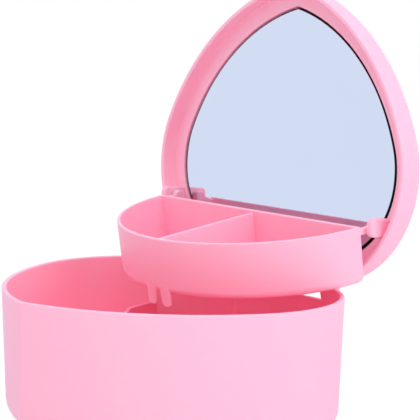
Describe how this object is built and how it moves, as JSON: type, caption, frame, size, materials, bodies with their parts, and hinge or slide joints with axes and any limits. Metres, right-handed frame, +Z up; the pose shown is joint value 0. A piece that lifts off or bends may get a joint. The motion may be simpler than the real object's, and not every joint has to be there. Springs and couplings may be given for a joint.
{
  "type": "heart-shaped vanity box with a lid mirror and lift-out tray",
  "caption": "Heart-shaped plastic vanity box: divided base, hinged lid with an inset mirror, and a tray hung from the lid that swings up level as the lid opens.",
  "frame": {"origin": "on the flat underside of the base, on the plane of symmetry, directly below the widest line of the heart", "axes": "+X across the lobes to the right as seen from the front tip, -Y towards the front tip, +Y towards the hinge, +Z up; stored with the lid open"},
  "size_m": [0.13, 0.1226, 0.1469],
  "materials": {
    "pink_plastic_base": "smooth injection-moulded polypropylene with a soft sheen, light pink",
    "pink_plastic_lid": "smooth injection-moulded polypropylene with a soft sheen, light pink",
    "pink_plastic_tray": "smooth injection-moulded polypropylene with a soft sheen, light pink",
    "mirror": "silvered flat glass, clean",
    "black_foam_tape": "matt black closed-cell foam tape",
    "steel_pin": "drawn steel wire, plain"
  },
  "bodies": {
    "base": {"base_shell": "pink_plastic_base", "hinge_pin_left": "steel_pin", "hinge_pin_right": "steel_pin"},
    "lid": {"lid_shell": "pink_plastic_lid", "mirror_tape": "black_foam_tape", "mirror_glass": "mirror"},
    "tray": {"tray": "pink_plastic_tray"}
  },
  "joints": [
    {"name": "lid_hinge", "type": "hinge", "parent": "base", "child": "lid", "pos_m": [0, 0.03727, 0.0447], "axis": [1, 0, 0], "range_deg": [0, 95.7]},
    {"name": "tray_pivot", "type": "hinge", "parent": "lid", "child": "tray", "pos_m": [0, 0.03971, 0.06616], "axis": [1, 0, 0], "range_deg": [-104, 0]}
  ],
  "couplings": [
    {"joint": "tray_pivot", "follows": "lid_hinge", "ratio": -1.0846}
  ]
}
